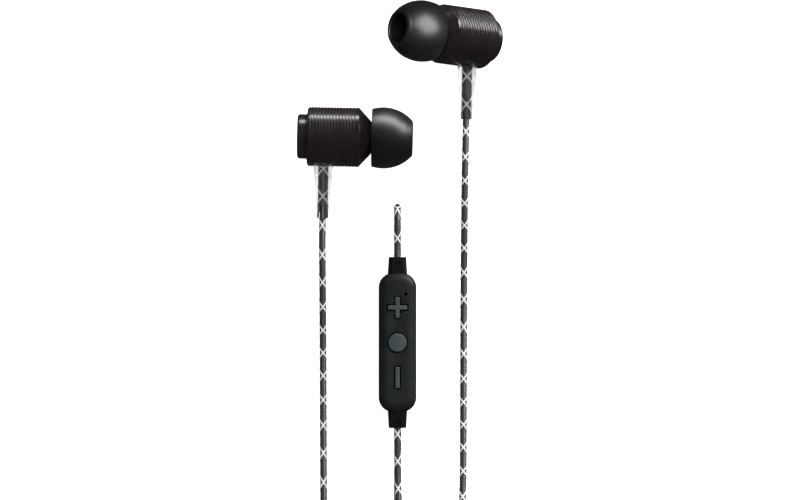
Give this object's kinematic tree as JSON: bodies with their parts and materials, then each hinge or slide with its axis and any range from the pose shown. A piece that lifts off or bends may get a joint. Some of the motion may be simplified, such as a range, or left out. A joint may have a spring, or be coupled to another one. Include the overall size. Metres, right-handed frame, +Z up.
{
  "type": "wired earphones",
  "caption": "Wired in-ear earphones with ribbed metal earbuds, soft ear tips, a braided cord, an in-line control with buttons, a splitter and a straight audio plug.",
  "frame": {"origin": "on the table, under the middle of the two earbuds and the control together", "axes": "+Y from the control towards the earbuds, +Z up from the table, +X to the side of the right earbud"},
  "size_m": [0.0416, 0.1885, 0.0198],
  "materials": {
    "barrel": "black anodised, finely turned ribs, satin",
    "mesh": "fine woven steel mesh",
    "silicone": "soft satin black silicone",
    "driver_plastic": "moulded, matt",
    "steel": "plain punched steel",
    "magnet": "nickel-plated magnet",
    "copper": "enamelled copper wire, wound",
    "diaphragm": "thin clear amber film",
    "clear_sleeve": "clear soft vinyl, slightly frosted",
    "control_cover": "soft-touch satin",
    "button": "satin slate grey",
    "switch_plastic": "moulded",
    "board": "solder-masked glass fibre board",
    "boot": "soft moulded rubber, matt",
    "splitter_metal": "black anodised, satin",
    "moulding": "black moulded plastic",
    "plug_metal": "black anodised, satin",
    "contact": "gold-plated, polished",
    "cord": "braided sleeve, near black with two thin white tracer threads",
    "strap": "soft strap, matt"
  },
  "bodies": {
    "root": {"left_barrel": "barrel", "left_rear_cap": "barrel", "left_front_cone": "barrel", "left_nozzle_mesh": "mesh", "left_driver_frame": "driver_plastic", "left_yoke": "steel", "left_magnet": "magnet", "left_pole_plate": "steel", "left_lead_knot": "cord", "left_strain_sleeve": "clear_sleeve", "right_barrel": "barrel", "right_rear_cap": "barrel", "right_front_cone": "barrel", "right_nozzle_mesh": "mesh", "right_driver_frame": "driver_plastic", "right_yoke": "steel", "right_magnet": "magnet", "right_pole_plate": "steel", "right_lead_knot": "cord", "right_strain_sleeve": "clear_sleeve", "control_top_cover": "control_cover", "control_bottom_cover": "control_cover", "switch_bases": "switch_plastic", "circuit_board": "board", "microphone": "steel", "upper_boot": "boot", "lower_boot": "boot", "splitter_shell": "splitter_metal", "splitter_core": "moulding", "plug_strain_sleeve": "clear_sleeve", "plug_barrel": "plug_metal", "plug_core": "moulding", "plug_ground_contact": "contact", "plug_ring_contact_inner": "contact", "plug_ring_contact_outer": "contact", "plug_tip_contact": "contact", "plug_insulators": "moulding", "left_upper_cord": "cord", "left_lower_cord": "cord", "right_cord": "cord", "left_lead": "cord", "right_lead": "cord", "main_lead": "cord", "plug_lead": "cord", "left_coil": "cord", "right_coil": "cord", "main_coil": "cord", "coil_straps": "strap"},
    "left_tip": {"left_ear_tip": "silicone"},
    "right_tip": {"right_ear_tip": "silicone"},
    "left_voice": {"left_voice_coil": "copper", "left_diaphragm": "diaphragm"},
    "right_voice": {"right_voice_coil": "copper", "right_diaphragm": "diaphragm"},
    "plus_key": {"plus_button": "button", "plus_plunger": "switch_plastic"},
    "centre_key": {"centre_button": "button", "centre_plunger": "switch_plastic"},
    "minus_key": {"minus_button": "button", "minus_plunger": "switch_plastic"}
  },
  "joints": [
    {"name": "left_tip_pull", "type": "slide", "parent": "root", "child": "left_tip", "axis": [0.9997, -0.0192, 0.0134], "range_m": [0, 0.0055]},
    {"name": "right_tip_pull", "type": "slide", "parent": "root", "child": "right_tip", "axis": [-0.809, 0.0907, 0.5807], "range_m": [0, 0.0055]},
    {"name": "left_voice_stroke", "type": "slide", "parent": "root", "child": "left_voice", "axis": [0.9997, -0.0192, 0.0134], "range_m": [-0.00015, 0.00015], "stiffness_N_per_m": 200},
    {"name": "right_voice_stroke", "type": "slide", "parent": "root", "child": "right_voice", "axis": [-0.809, 0.0907, 0.5807], "range_m": [-0.00015, 0.00015], "stiffness_N_per_m": 200},
    {"name": "plus_press", "type": "slide", "parent": "root", "child": "plus_key", "axis": [0, 0, -1], "range_m": [0, 0.0003], "stiffness_N_per_m": 500},
    {"name": "centre_press", "type": "slide", "parent": "root", "child": "centre_key", "axis": [0, 0, -1], "range_m": [0, 0.0003], "stiffness_N_per_m": 500},
    {"name": "minus_press", "type": "slide", "parent": "root", "child": "minus_key", "axis": [0, 0, -1], "range_m": [0, 0.0003], "stiffness_N_per_m": 500}
  ]
}
